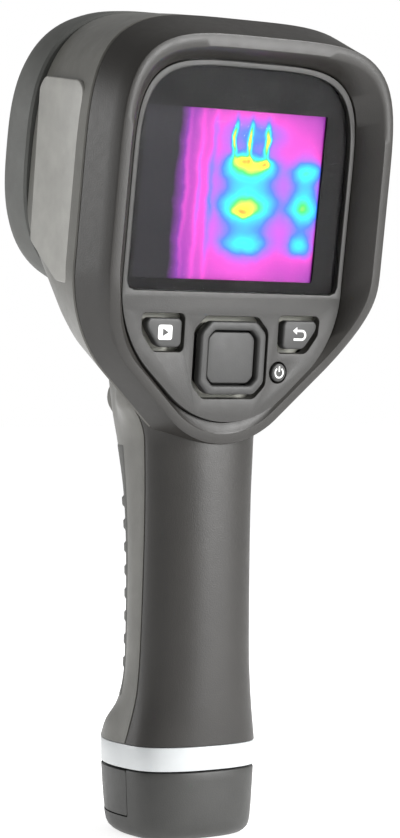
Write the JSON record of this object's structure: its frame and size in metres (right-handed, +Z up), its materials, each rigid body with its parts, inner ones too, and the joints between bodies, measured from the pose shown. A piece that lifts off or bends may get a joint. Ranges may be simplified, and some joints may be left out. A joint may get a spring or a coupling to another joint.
{
  "type": "thermal imaging camera",
  "caption": "Pistol-grip thermal imaging camera: rear screen and keypad, front lens behind a bumper, trigger, and a battery that slides out of the handle.",
  "frame": {"origin": "middle of the battery base's flat bottom, on the handle axis", "axes": "+Z up the handle axis, +Y forward the way the lens looks, +X to the right of the user who reads the screen"},
  "size_m": [0.095, 0.0749, 0.2277],
  "materials": {
    "shell_dark": "fine spark-eroded texture, satin",
    "shell_grey": "fine texture, satin",
    "panel_grey": "smooth satin",
    "grip_rubber": "soft overmould, matte",
    "bezel_plastic": "fine texture",
    "trigger_plastic": "satin",
    "base_plastic": "fine texture",
    "key_rubber": "smooth silicone key",
    "cover_rubber": "matte",
    "collar_white": "silvery white, satin gloss",
    "black_plastic": "satin",
    "screen_glass": "clear, polished",
    "display": "lit liquid-crystal display",
    "germanium": "coated, polished",
    "lens_metal": "black anodised",
    "circuit_board": "solder mask",
    "steel": "stamped",
    "silicone": "translucent",
    "gold_contact": "plated",
    "cell_wrap": "shrink wrap"
  },
  "bodies": {
    "camera": {"rear_shell": "shell_dark", "front_shell": "shell_grey", "side_panel_left": "panel_grey", "side_panel_right": "panel_grey", "grip_rubber": "grip_rubber", "front_bumper": "grip_rubber", "front_plate": "black_plastic", "bezel_plate": "bezel_plastic", "display_window": "screen_glass", "lcd_module": "display", "display_frame": "steel", "keypad_membrane": "silicone", "keypad_board": "circuit_board", "main_board": "circuit_board", "processor_shield": "steel", "detector_module": "gold_contact", "shutter_housing": "black_plastic", "lens_barrel": "lens_metal", "ir_lens": "germanium", "lens_ring": "lens_metal", "visual_camera": "black_plastic", "visual_window": "screen_glass", "lens_cap_pin": "steel", "usb_socket": "steel", "usb_cover_pin": "steel", "trigger_pin": "steel", "trigger_spring": "steel", "trigger_switch": "black_plastic", "battery_dock": "black_plastic", "collar_ring": "collar_white", "housing_screws": "steel"},
    "shutter": {"shutter_flag": "black_plastic"},
    "lens_cap": {"lens_cap": "black_plastic"},
    "archive_key": {"archive_button": "key_rubber"},
    "back_key": {"back_button": "key_rubber"},
    "power_key": {"power_button": "key_rubber"},
    "nav_tilt": {"nav_plate": "key_rubber"},
    "nav_pad": {"nav_ring": "key_rubber"},
    "nav_press": {"nav_center": "key_rubber"},
    "usb_cover": {"usb_cover": "cover_rubber"},
    "trigger": {"trigger": "trigger_plastic"},
    "battery": {"battery_base": "base_plastic", "battery_case": "black_plastic", "battery_cell": "cell_wrap", "battery_contacts": "gold_contact"},
    "latch_left": {"latch_left": "base_plastic"},
    "latch_right": {"latch_right": "base_plastic"}
  },
  "joints": [
    {"name": "archive_press", "type": "slide", "parent": "camera", "child": "archive_key", "axis": [0, 0.9968, 0.0802], "range_m": [0, 0.0006], "stiffness_N_per_m": 400},
    {"name": "back_press", "type": "slide", "parent": "camera", "child": "back_key", "axis": [0, 0.9968, 0.0802], "range_m": [0, 0.0006], "stiffness_N_per_m": 400},
    {"name": "power_press", "type": "slide", "parent": "camera", "child": "power_key", "axis": [0, 0.9968, 0.0802], "range_m": [0, 0.0006], "stiffness_N_per_m": 400},
    {"name": "nav_up_down", "type": "hinge", "parent": "camera", "child": "nav_tilt", "pos_m": [0, -0.01492, 0.1314], "axis": [1, 0, 0], "range_deg": [-2.5, 2.5], "stiffness_Nm_per_rad": 0.05},
    {"name": "nav_left_right", "type": "hinge", "parent": "nav_tilt", "child": "nav_pad", "pos_m": [0, -0.01662, 0.13126], "axis": [0, -0.0802, 0.9968], "range_deg": [-2.5, 2.5], "stiffness_Nm_per_rad": 0.05},
    {"name": "nav_press", "type": "slide", "parent": "nav_pad", "child": "nav_press", "axis": [0, 0.9968, 0.0802], "range_m": [0, 0.0005], "stiffness_N_per_m": 400},
    {"name": "usb_cover_hinge", "type": "hinge", "parent": "camera", "child": "usb_cover", "pos_m": [-0.0035, -0.01135, 0.22104], "axis": [0, -0.9914, -0.1305], "range_deg": [0, 85]},
    {"name": "trigger_pull", "type": "hinge", "parent": "camera", "child": "trigger", "pos_m": [0, 0.0205, 0.1245], "axis": [-1, 0, 0], "range_deg": [0, 8], "stiffness_Nm_per_rad": 0.15},
    {"name": "lens_cap_turn", "type": "hinge", "parent": "camera", "child": "lens_cap", "pos_m": [-0.02, 0.03088, 0.16841], "axis": [0, 0.9914, 0.1305], "range_deg": [0, 50]},
    {"name": "shutter_swing", "type": "hinge", "parent": "camera", "child": "shutter", "pos_m": [0.013, 0.01173, 0.17597], "axis": [0, -0.9914, -0.1305], "range_deg": [0, 70]},
    {"name": "battery_slide", "type": "slide", "parent": "camera", "child": "battery", "axis": [0, 0, -1], "range_m": [0, 0.075]},
    {"name": "latch_left_press", "type": "slide", "parent": "battery", "child": "latch_left", "axis": [1, 0, 0], "range_m": [0, 0.001], "stiffness_N_per_m": 800},
    {"name": "latch_right_press", "type": "slide", "parent": "battery", "child": "latch_right", "axis": [-1, 0, 0], "range_m": [0, 0.001], "stiffness_N_per_m": 800}
  ]
}
